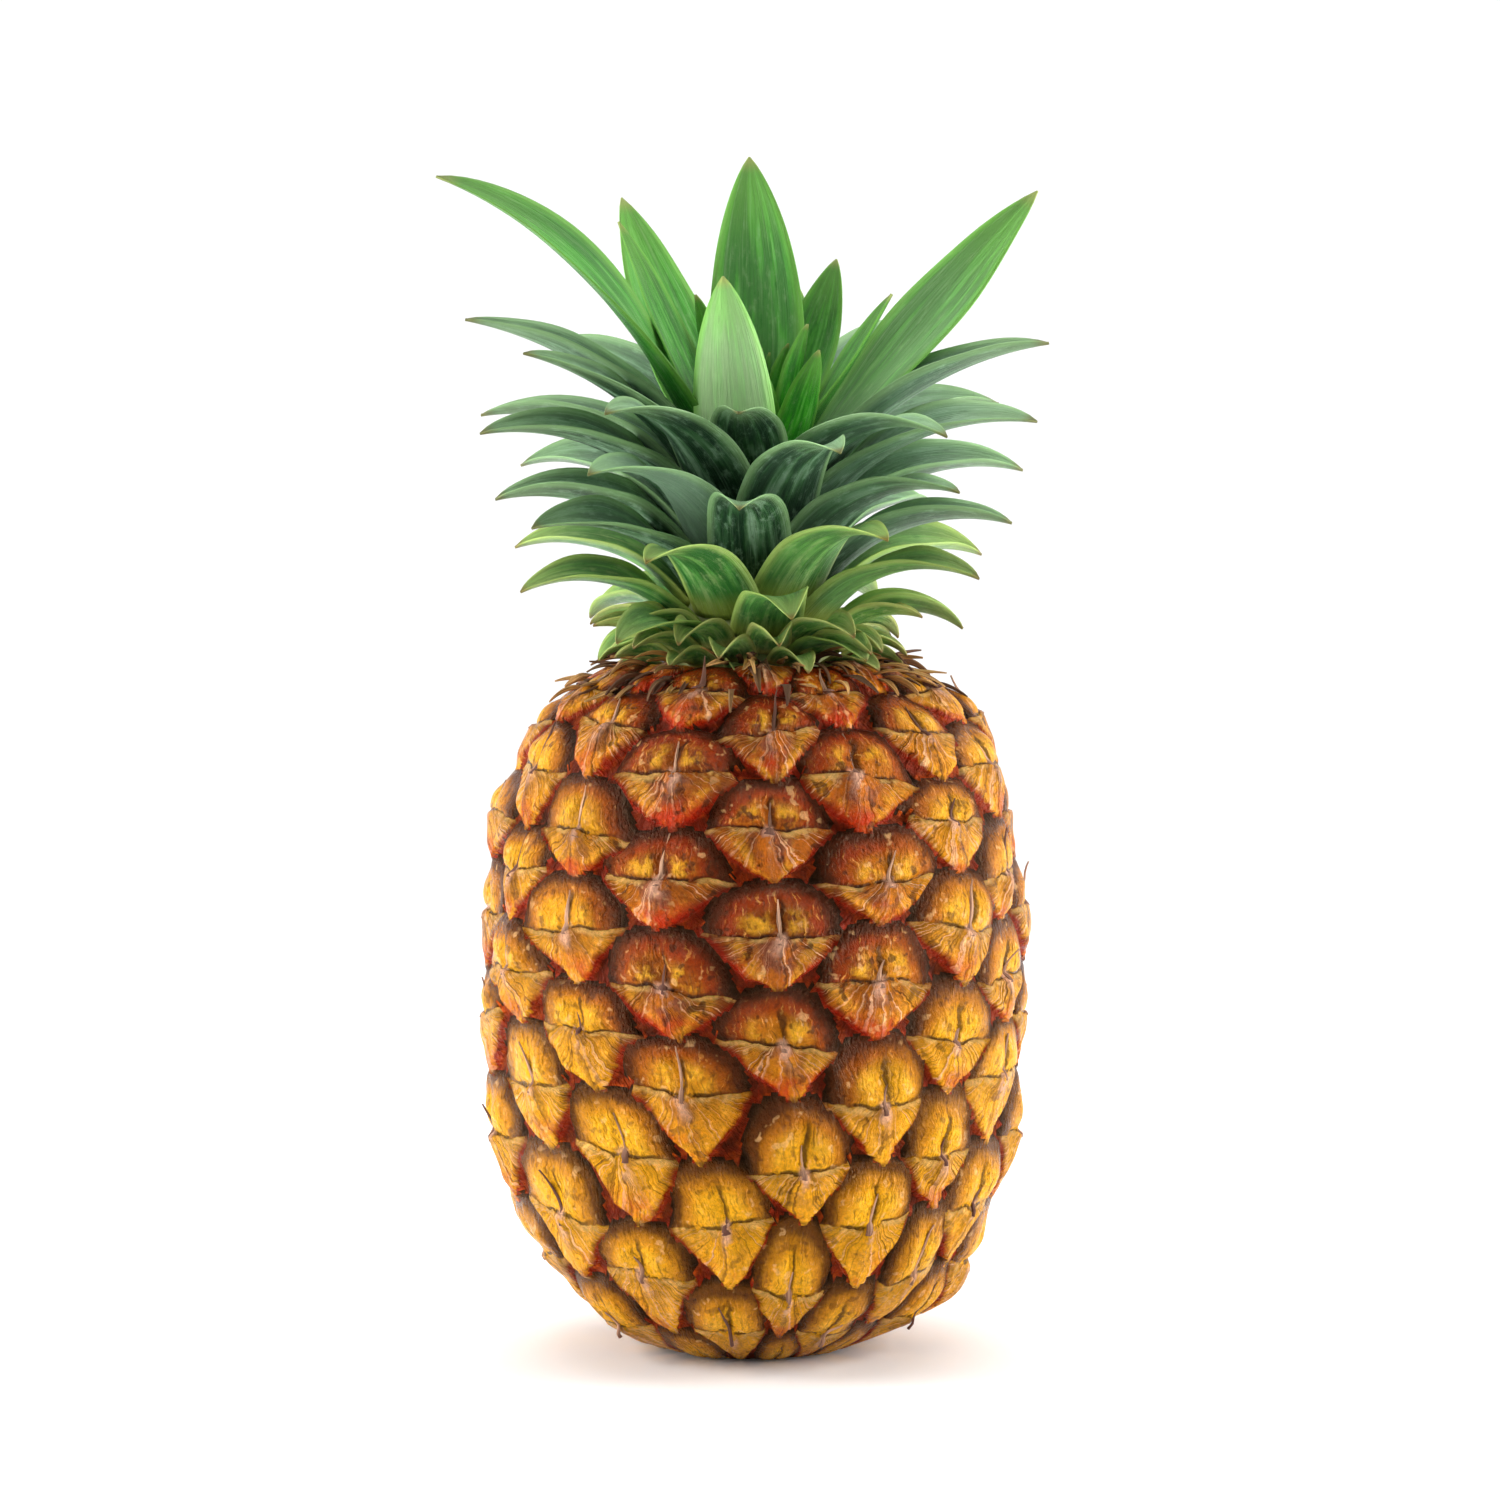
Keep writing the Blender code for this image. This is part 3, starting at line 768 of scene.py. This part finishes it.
def crown_stem_radius(rise):
    share = min(1.0, max(0.0, rise / CROWN_HEIGHT))
    return mix(CROWN_BASE_RADIUS, CROWN_TIP_RADIUS, share ** 0.85)


def spiral_leaf(number):
    age = number / (SPIRAL_LEAVES - 1)
    stretch, lift, swing = ODD_LEAVES.get(number, (0.0, 0.0, 0.0))
    return {
        "turn": FIRST_LEAF_TURN + number * GOLDEN_ANGLE + math.radians(swing),
        "rise": SPIRAL_FOOT + SPIRAL_CLIMB * age,
        "length": on_curve(LEAF_LENGTHS, age) * (1.0 + stretch),
        "half_width": on_curve(LEAF_HALF_WIDTHS, age),
        "foot_slope": math.radians(on_curve(LEAF_FOOT_SLOPES, age)),
        "tip_slope": math.radians(on_curve(LEAF_TIP_SLOPES, age) + lift),
        "fullness": 2.3,
        "flatness": 0.3,
    }


def heart_leaf(turn, rise, length, half_width, foot_slope, tip_slope, bend, twist):
    return {
        "turn": math.radians(turn),
        "rise": rise * MM,
        "length": length * MM,
        "half_width": half_width * MM,
        "foot_slope": math.radians(foot_slope),
        "tip_slope": math.radians(tip_slope),
        "bend": bend,
        "twist": math.radians(twist),
        "fullness": 3.1,
        "flatness": 1.0,
    }


LEAF_ROWS = 30              # of faces from foot to tip
LEAF_ACROSS = 10            # and from side to side
LEAF_STEPS = 60             # along the curve that a leaf's middle follows
LEAF_THICKNESS = 1.6 * MM
LEAF_FOOT_GAP = 0.4 * MM
FOOT_SCALES = 34
BUD_LEAVES = 16


def leaf_surface(plan, foot_radius, foot_height, sway, twist, wave):
    """A leaf's middle surface as a grid of points, from foot to tip and side to side."""
    radius, height = foot_radius, foot_height
    line = []
    for step in range(LEAF_STEPS + 1):
        slope = mix(plan["foot_slope"], plan["tip_slope"], (step / LEAF_STEPS) ** plan.get("bend", 1.0))
        line.append((radius, height, slope))
        radius += math.cos(slope) * plan["length"] / LEAF_STEPS
        height += math.sin(slope) * plan["length"] / LEAF_STEPS
    line = np.array(line)
    along = np.linspace(0.0, 1.0, LEAF_ROWS + 1)
    across = np.linspace(-1.0, 1.0, LEAF_ACROSS + 1)
    places = np.linspace(0, 1, LEAF_STEPS + 1)
    radius, height, slope = (np.interp(along, places, line[:, part]) for part in range(3))
    foot = min(1.02 * plan["half_width"], 0.95 * foot_radius)
    full = np.sin(0.5 * math.pi * np.minimum(1.0, along / 0.36))
    half_width = mix(foot, plan["half_width"], full) * (1.0 - along ** plan["fullness"]) ** 0.88 + 0.0002
    fold = plan["channel"] * (0.35 + 0.65 * smooth(along / 0.45)) * (1.0 + 0.5 * along)
    along_grid, across_grid = np.meshgrid(along, across, indexing="ij")
    wide = half_width[:, None] * across_grid
    lean = twist * smooth(along[:, None] / 0.7)
    ripple = wave * np.sin(along[:, None] * 17.0 + plan["turn"] * 3.0)
    ripple = ripple * np.abs(across_grid) ** 2 * along[:, None]
    lift = fold[:, None] * half_width[:, None] * np.abs(across_grid) ** 1.7 + ripple * half_width[:, None]
    sideways = wide * np.cos(lean) - lift * np.sin(lean)
    upward = lift * np.cos(lean) + wide * np.sin(lean)
    reach = radius[:, None] - upward * np.sin(slope)[:, None]
    rise = height[:, None] + upward * np.cos(slope)[:, None]
    wrap = np.maximum(radius[:, None], 0.006)
    turn = plan["turn"] + sideways / wrap
    wrapped = np.stack((reach * np.sin(turn), -reach * np.cos(turn), rise), axis=-1)
    sideways = sideways + sway * along[:, None] ** 2 * plan["length"]
    out_x, out_y = math.sin(plan["turn"]), -math.cos(plan["turn"])
    spread = np.stack(
        (reach * out_x - sideways * out_y, reach * out_y + sideways * out_x, rise), axis=-1)
    flatness = plan["flatness"] * smooth((along_grid - 0.02) / 0.40)
    points = mix(wrapped, spread, flatness[..., None])
    return points, along_grid, across_grid


def leaf_shell(points, along, across, thickness, tone, pale=0.0):
    """Give a leaf's middle surface its thickness, thin at the margins and the tip."""
    lengthwise = np.gradient(points, axis=0)
    sideways = np.gradient(points, axis=1)
    facing = np.cross(lengthwise, sideways)
    facing /= np.maximum(np.linalg.norm(facing, axis=2, keepdims=True), 1e-12)
    half = 0.5 * thickness * (1.0 - 0.75 * np.abs(across) ** 1.5) * (1.0 - 0.55 * along)
    over = points - facing * half[..., None]
    under = points + facing * half[..., None]
    rows, width = along.shape
    count = rows * width

    def at(row, step, layer):
        """Number of a point, layer 0 being the side that faces inwards."""
        return layer * count + row * width + step

    faces = []
    end, last = rows - 1, width - 1
    for row in range(end):
        after = row + 1
        for step in range(last):
            beside = step + 1
            faces.append((at(row, step, 0), at(after, step, 0), at(after, beside, 0), at(row, beside, 0)))
            faces.append((at(row, step, 1), at(row, beside, 1), at(after, beside, 1), at(after, step, 1)))
        faces.append((at(row, 0, 0), at(row, 0, 1), at(after, 0, 1), at(after, 0, 0)))
        faces.append((at(row, last, 1), at(row, last, 0), at(after, last, 0), at(after, last, 1)))
    for step in range(last):
        beside = step + 1
        faces.append((at(0, step, 0), at(0, beside, 0), at(0, beside, 1), at(0, step, 1)))
        faces.append((at(end, step, 0), at(end, step, 1), at(end, beside, 1), at(end, beside, 0)))
    return {
        "points": np.concatenate((over.reshape(-1, 3), under.reshape(-1, 3))),
        "faces": faces,
        "leaf_along": np.tile(along.ravel(), 2),
        "leaf_across": np.tile(across.ravel(), 2),
        "leaf_inner": np.concatenate((np.ones(count), np.zeros(count))),
        "leaf_tone": np.full(2 * count, tone),
        "leaf_pale_and_lit": np.full(2 * count, pale),
    }


def piece_of_shells(name, shells, material, slot, *nodes):
    """One piece made of one or many leaf shells, with what their material reads."""
    points, faces = [], []
    for shell in shells:
        first = len(points)
        points.extend(shell["points"])
        faces.extend(tuple(first + corner for corner in face) for face in shell["faces"])
    mesh = mesh_from(name, points, faces)
    for layer in ("leaf_along", "leaf_across", "leaf_inner", "leaf_tone", "leaf_pale_and_lit"):
        store(mesh, layer, np.concatenate([shell[layer] for shell in shells]))
    return new_piece(name, mesh, material, slot, *nodes)


def leaf_finish(name, green, deep, silver, margin, foot, tip, silvering):
    """A leaf striped along its length, silvery in places, with a pale margin and painted shade at its
    foot.
    """
    blade = Finish(name)
    along = blade.attribute("leaf_along")
    across = blade.attribute("leaf_across")
    inside = blade.attribute("leaf_inner")
    tone = blade.attribute("leaf_tone")
    pale = blade.attribute("leaf_pale_and_lit")
    side = across.size()
    bands = blade.noise(blade.grid(across * 2.2, along * 1.3, tone * 31.0), 1.6, 2.0, 0.6)
    stripes = blade.noise(blade.grid(across * 11.0, along * 1.2, tone * 17.0), 1.4, 3.0, 0.7)
    fine = blade.noise(blade.grid(across * 50.0, along * 5.0, tone * 13.0), 1.0, 2.0, 0.6)
    bloom = blade.noise(blade.grid(across * 4.0, along * 9.0, tone * 23.0), 1.3, 4.0, 0.7)
    blade.paint(green)
    blade.paint(deep, bands.rise(0.40, 0.58) * 0.85)
    # painted shade: darker towards the foot, deep in the rosette
    blade.paint(deep, along.rise(0.45, 0.10) * 0.70)
    blade.paint(silver, bands.rise(0.48, 0.30) * side.rise(1.1, 0.4) * silvering)
    blade.paint(silver, stripes.rise(0.52, 0.72) * (inside.rest() * 0.6 + 0.6) * silvering)
    blade.paint(deep, stripes.rise(0.46, 0.30) * 0.60)
    blade.paint(silver, inside.rest() * 0.5 * silvering)
    blade.paint(silver, bloom.rise(0.50, 0.72) * silvering)
    blade.paint(deep, bloom.rise(0.46, 0.28) * 0.5)
    # paleness of a leaf; on spiral leaf 24 it is partly a painted highlight
    blade.paint(silver, pale * (bands * 0.5 + 0.45) * (along.rise(1.0, 0.3) * 0.5 + 0.6))
    blade.paint(margin, side.rise(0.72, 0.98) * 0.65)
    # the foot colour: pale and yellowish on the outer leaves and scales, and on the middle leaves a darker
    # green that is painted shade deep in the rosette
    blade.paint(foot, along.rise(0.20, 0.02) * 0.70)
    blade.paint(margin, along.rise(0.60, 0.95) * 0.45)
    blade.paint(tip, along.rise(0.93, 1.0) * 0.85)
    blade.shade(fine * 0.5 + 0.75)
    blade.shade(tone * 0.5 + 0.75)
    return blade.finish(
        roughness=fine * 0.25 + 0.28 + inside.rest() * 0.12,
        bump=stripes * 0.8 + fine * 0.4, bump_depth=0.0006, coat=0.05, specular=0.45,
        shine=(0.75, 1.0, 0.65, 1.0))


def grown_leaf(plan, foot_radius, foot_height, thickness, chance):
    """The shell of one leaf or scale, with its own small sway, twist and ripple."""
    points, along, across = leaf_surface(
        plan, foot_radius, foot_height,
        sway=plan.get("sway", chance.uniform(-0.05, 0.05)),
        twist=plan.get("twist", math.radians(chance.uniform(-14, 14))),
        wave=chance.uniform(0.0, 0.06))
    tone = plan.get("tone", chance.uniform(0.2, 0.8))
    return leaf_shell(points, along, across, thickness, tone, plan.get("pale", 0.0))


def make_leaf(node, plan, material, slot, chance):
    """One leaf of the crown, which stands for its plainer CAD node."""
    foot_radius = crown_stem_radius(plan["rise"]) + LEAF_FOOT_GAP
    shell = grown_leaf(plan, foot_radius, CROWN_FOOT + plan["rise"], LEAF_THICKNESS, chance)
    return piece_of_shells(node + "_blade", [shell], material, slot, node)


def make_foot_scales(material):
    """The smallest leaves, crowded round the foot of the crown."""
    chance = random.Random(31)
    shells = []
    for number in range(FOOT_SCALES):
        age = number / (FOOT_SCALES - 1)
        plan = {
            "turn": number * GOLDEN_ANGLE + chance.uniform(-0.12, 0.12),
            "length": mix(0.011, 0.023, age) * chance.uniform(0.85, 1.15),
            "half_width": mix(0.0042, 0.0062, age),
            "foot_slope": math.radians(mix(22, 50, age) + chance.uniform(-8, 8)),
            "tip_slope": math.radians(mix(-30, -25, age) + chance.uniform(-20, 20)),
            "fullness": 2.0,
            "flatness": 0.5,
            "channel": chance.uniform(0.4, 0.7),
        }
        foot_radius = mix(0.0225, 0.0185, age)
        shells.append(grown_leaf(plan, foot_radius, mix(0.1575, 0.1640, age), 0.0011, chance))
    return piece_of_shells("crown_foot_scales", shells, material, "outer_leaf")


def make_heart_bud(material):
    """The youngest leaves, closed over the tip of the crown's stem."""
    chance = random.Random(61)
    shells = []
    for number in range(BUD_LEAVES):
        age = number / (BUD_LEAVES - 1)
        plan = {
            "turn": number * GOLDEN_ANGLE,
            "length": mix(0.026, 0.013, age),
            "half_width": mix(0.0050, 0.0026, age),
            "foot_slope": math.radians(mix(78, 86, age)),
            "tip_slope": math.radians(mix(80, 97, age)),
            "fullness": 2.3,
            "flatness": 0.4,
            "channel": 0.5,
            "twist": 0.0,
        }
        foot_radius = mix(0.0072, 0.0016, age)
        foot_height = CROWN_FOOT + mix(0.049, 0.058, age)
        shells.append(grown_leaf(plan, foot_radius, foot_height, 0.0010, chance))
    return piece_of_shells("heart_bud", shells, material, "heart_leaf")


def make_dry_bracts(material):
    """Shrivelled bracts on the shoulder of the fruit, round the crown."""
    chance = random.Random(47)
    shells = []
    for number in range(DRY_BRACTS):
        foot_radius = chance.uniform(0.020, 0.041)
        foot_height = float(np.interp(-foot_radius, -OUTLINE_RADII[400:], OUTLINE_HEIGHTS[400:]))
        shoulder = -18.0 - 34.0 * (foot_radius - 0.020) / 0.021
        plan = {
            "turn": number * GOLDEN_ANGLE + chance.uniform(-0.2, 0.2),
            "length": chance.uniform(0.005, 0.012),
            "half_width": chance.uniform(0.0004, 0.0013),
            "foot_slope": math.radians(shoulder + chance.uniform(15, 60)),
            "tip_slope": math.radians(shoulder + chance.uniform(-20, 45)),
            "fullness": 1.3,
            "flatness": 0.5,
            "channel": chance.uniform(0.3, 1.0),
            "twist": math.radians(chance.uniform(-40, 40)),
            "sway": chance.uniform(-0.4, 0.4),
            "tone": chance.random(),
        }
        shells.append(grown_leaf(plan, foot_radius, foot_height + 0.0014, 0.0006, chance))
    return piece_of_shells("dry_shoulder_bracts", shells, material, "rind")


def finish_stems():
    """The crown's stem and the cut stalk keep their CAD solids."""
    stem = Finish("crown_stem")
    place = stem.position()
    stem.paint(colour(150, 156, 92))
    stem.paint(colour(92, 110, 54), stem.noise(place, 90.0, 3.0).rise(0.4, 0.7) * 0.7)
    stem.shade(stem.noise(place, 700.0, 2.0) * 0.4 + 0.75)
    stalk = Finish("cut_stalk")
    place = stalk.position()
    fibres = stalk.noise(place, 1100.0, 2.0, 0.6)
    stalk.paint(colour(176, 140, 92))
    stalk.paint(colour(96, 62, 34), stalk.noise(place, 160.0, 3.0).rise(0.4, 0.7) * 0.6)
    stalk.paint(colour(70, 44, 26), fibres.rise(0.55, 0.7) * 0.6)
    finishes = {
        "crown_stem": stem.finish(roughness=0.6),
        "cut_stem": stalk.finish(roughness=0.85, bump=fibres, bump_depth=0.0003),
    }
    for node, material in finishes.items():
        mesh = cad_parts[node].data
        mesh.materials.clear()
        mesh.materials.append(material)


def make_crown():
    """Every leaf of the crown, from the foot of the spiral to the heart."""
    chance = random.Random(5)
    outer_finish = leaf_finish(
        "outer_leaf", green=colour(92, 166, 72), deep=colour(38, 100, 42), silver=colour(170, 196, 130),
        margin=colour(178, 200, 100), foot=colour(160, 168, 70), tip=colour(136, 108, 40), silvering=0.45)
    # the middle leaves' darker foot colour is painted shade deep in the rosette
    middle_finish = leaf_finish(
        "middle_leaf", green=colour(56, 104, 58), deep=colour(18, 46, 32), silver=colour(152, 186, 156),
        margin=colour(150, 192, 128), foot=colour(50, 86, 44), tip=colour(124, 112, 52), silvering=0.60)
    heart_finish = leaf_finish(
        "heart_leaf", green=colour(56, 164, 20), deep=colour(20, 106, 14), silver=colour(196, 226, 170),
        margin=colour(126, 190, 74), foot=colour(84, 150, 50), tip=colour(176, 182, 96), silvering=0.16)
    for number in range(SPIRAL_LEAVES):
        plan = spiral_leaf(number)
        facing = math.cos(plan["turn"])
        plan["channel"] = mix(0.50, 0.28, max(0.0, facing)) * chance.uniform(0.85, 1.15)
        plan["twist"] = math.radians(chance.uniform(0, 34)) * math.sin(plan["turn"])
        plan["pale"] = PALE_AND_LIT_SPIRAL_LEAVES.get(number, 0.3 * max(0.0, math.sin(plan["turn"])))
        if number < OUTER_LEAVES:
            make_leaf(f"outer_leaf_{number + 1:02d}", plan, outer_finish, "outer_leaf", chance)
        else:
            node = f"middle_leaf_{number - OUTER_LEAVES + 1:02d}"
            make_leaf(node, plan, middle_finish, "middle_leaf", chance)
    for number, sizes in enumerate(HEART_LEAVES, start=1):
        plan = heart_leaf(*sizes)
        plan["channel"] = chance.uniform(0.15, 0.3)
        plan["pale"] = PALE_HEART_LEAVES.get(number, 0.0)
        plan["tone"] = HEART_TONES.get(number, 0.45)
        make_leaf(f"heart_leaf_{number:02d}", plan, heart_finish, "heart_leaf", chance)
    make_heart_bud(heart_finish)
    make_foot_scales(leaf_finish(
        "foot_scale", green=colour(130, 180, 84), deep=colour(66, 120, 50), silver=colour(196, 206, 140),
        margin=colour(206, 204, 116), foot=colour(206, 196, 112), tip=colour(150, 104, 50), silvering=0.5))


# ------------------------------------------------------------ stage and lights
def make_stage():
    """A pale round floor that curves up into a wall, and soft light all round."""
    floor_radius, bend, wall_top, bend_steps, steps_round = 1.6, 0.9, 3.2, 16, 96
    profile = [(0.0, 0.0), (0.4 * floor_radius, 0.0), (floor_radius, 0.0)]
    for step in range(1, bend_steps + 1):
        turn = 0.5 * math.pi * step / bend_steps
        profile.append((floor_radius + bend * math.sin(turn), bend - bend * math.cos(turn)))
    profile.append((floor_radius + bend, wall_top))
    shape = bmesh.new()
    points = [shape.verts.new((radius, 0.0, height)) for radius, height in profile]
    edges = [shape.edges.new(pair) for pair in zip(points, points[1:])]
    bmesh.ops.spin(
        shape, geom=points + edges, cent=(0, 0, 0), axis=(0, 0, 1), angle=math.tau,
        steps=steps_round, use_merge=True)
    bmesh.ops.remove_doubles(shape, verts=shape.verts, dist=0.0001)
    bmesh.ops.recalc_face_normals(shape, faces=shape.faces)
    mesh = bpy.data.meshes.new("backdrop")
    shape.to_mesh(mesh)
    shape.free()
    mesh.polygons.foreach_set("use_smooth", [True] * len(mesh.polygons))
    backdrop = bpy.data.objects.new("backdrop", mesh)
    bpy.context.scene.collection.objects.link(backdrop)
    paper = bpy.data.materials.new("backdrop")
    paper.use_nodes = True
    shader = paper.node_tree.nodes["Principled BSDF"]
    shader.inputs["Base Color"].default_value = colour(250, 250, 250)
    shader.inputs["Roughness"].default_value = 0.95
    mesh.materials.append(paper)

    world = bpy.data.worlds.new("studio")
    world.use_nodes = True
    world.node_tree.nodes["Background"].inputs["Color"].default_value = (1.0, 1.0, 1.0, 1.0)
    world.node_tree.nodes["Background"].inputs["Strength"].default_value = 0.14
    bpy.context.scene.world = world


def add_softbox(name, place, target, size, power):
    light = bpy.data.lights.new(name, "AREA")
    light.shape = "RECTANGLE"
    light.size, light.size_y = size
    light.energy = power
    lamp = bpy.data.objects.new(name, light)
    bpy.context.scene.collection.objects.link(lamp)
    lamp.location = place
    lamp.rotation_euler = (Vector(target) - Vector(place)).to_track_quat("-Z", "Y").to_euler()


def make_lights():
    middle = (0.0, 0.0, 0.14)
    add_softbox("left_softbox", (-0.80, -0.10, 0.35), middle, (0.30, 0.8), 8.6)
    add_softbox("right_softbox", (0.80, -0.05, 0.30), middle, (0.30, 0.8), 9.0)
    add_softbox("front_softbox", (-0.25, -1.30, 0.95), middle, (0.5, 0.35), 1.3)
    add_softbox("top_softbox", (0.0, 0.10, 1.20), middle, (1.0, 1.0), 6.0)
    add_softbox("backdrop_softbox", (0.0, 0.50, 1.40), (0.0, 1.8, 0.1), (2.0, 0.8), 25.0)


def make_camera():
    camera = bpy.data.cameras.new("camera")
    camera.lens = 100.0
    camera.sensor_width = 36.0
    frame_height = 0.348
    distance = frame_height * camera.lens / camera.sensor_width
    eye = bpy.data.objects.new("camera", camera)
    bpy.context.scene.collection.objects.link(eye)
    target = Vector((-0.001, 0.0, 0.1385))
    tilt = math.radians(3.0)
    eye.location = target + Vector((0.0, -math.cos(tilt), math.sin(tilt))) * distance
    eye.rotation_euler = (target - eye.location).to_track_quat("-Z", "Y").to_euler()
    bpy.context.scene.camera = eye


def main():
    make_rind(rind_finish())
    make_bract_tips(dry_finish("dry_bract_tip", colour(232, 180, 142), colour(84, 38, 22)))
    make_dry_bracts(dry_finish("dry_bract", colour(222, 168, 96), colour(66, 26, 12)))
    make_crown()
    finish_stems()
    make_stage()
    make_lights()
    make_camera()
    bpy.context.scene.view_settings.view_transform = "Standard"


main()
